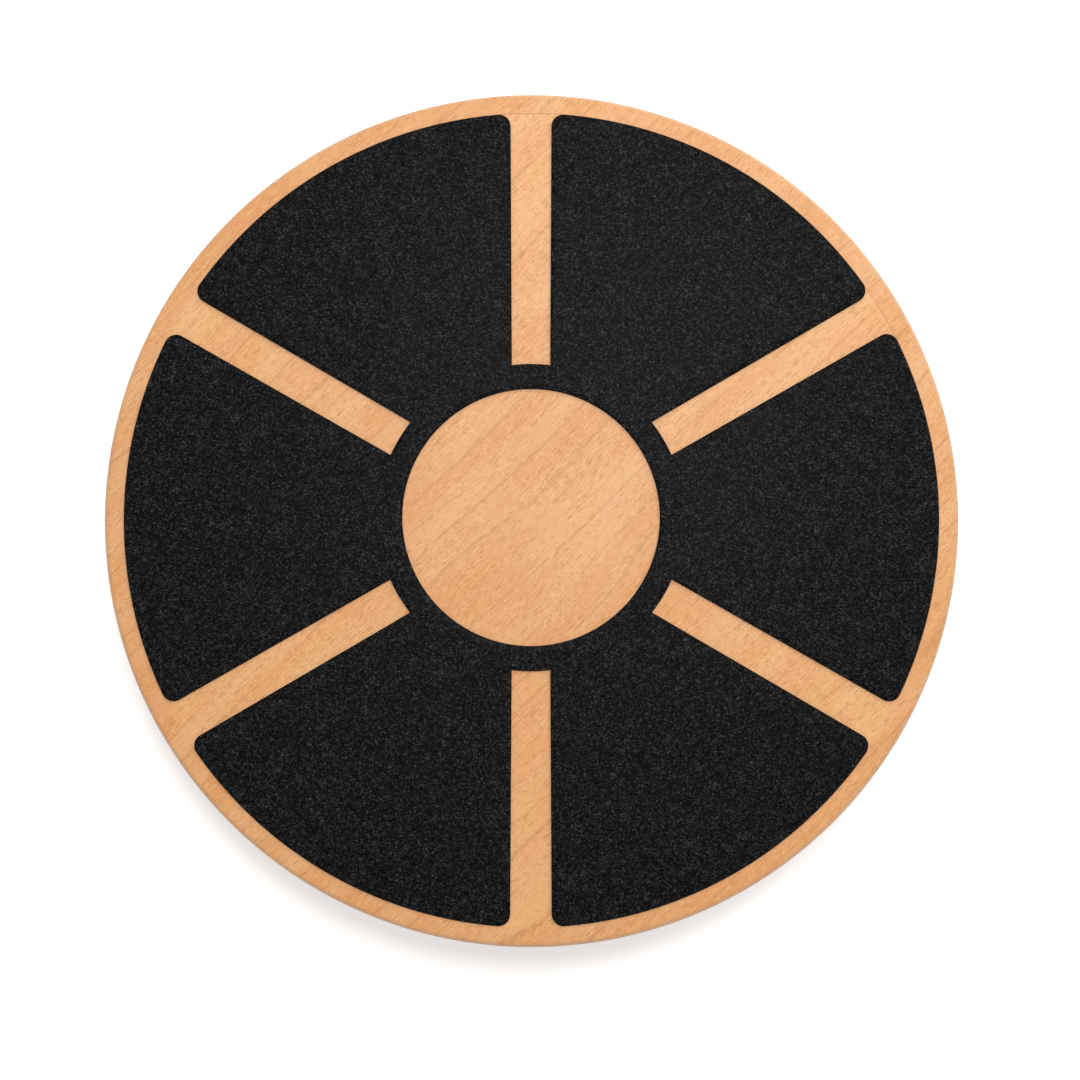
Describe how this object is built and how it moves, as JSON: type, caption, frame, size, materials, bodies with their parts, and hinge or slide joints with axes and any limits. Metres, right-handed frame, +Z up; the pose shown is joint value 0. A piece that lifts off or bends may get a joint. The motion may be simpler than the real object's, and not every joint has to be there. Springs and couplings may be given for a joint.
{
  "type": "wobble board",
  "caption": "Round wooden wobble board: a disc deck with a lobed black grip sheet on top, screwed to a hollow half-dome base with a rubbery rolling sole.",
  "frame": {"origin": "On the floor, under the middle of the board, at the flat on the pole of the dome.", "axes": "+Z up, along the axis of the round deck; +X through the middle of the first lobe of the grip sheet, which is the right-hand side of the picture."},
  "size_m": [0.4, 0.4, 0.0789],
  "materials": {
    "beech": "clear satin lacquer on beech-faced plywood",
    "grit_sheet": "fine black grit, like sandpaper",
    "black_abs": "moulded with a fine satin texture",
    "sole_rubber": "matt thermoplastic rubber",
    "zinc_steel": "zinc-plated steel"
  },
  "bodies": {
    "root": {"deck": "beech", "grip_sheet": "grit_sheet", "base_dome": "black_abs", "dome_sole": "sole_rubber", "base_screw_1": "zinc_steel", "base_screw_2": "zinc_steel", "base_screw_3": "zinc_steel", "base_screw_4": "zinc_steel", "base_screw_5": "zinc_steel", "base_screw_6": "zinc_steel"}
  },
  "joints": []
}
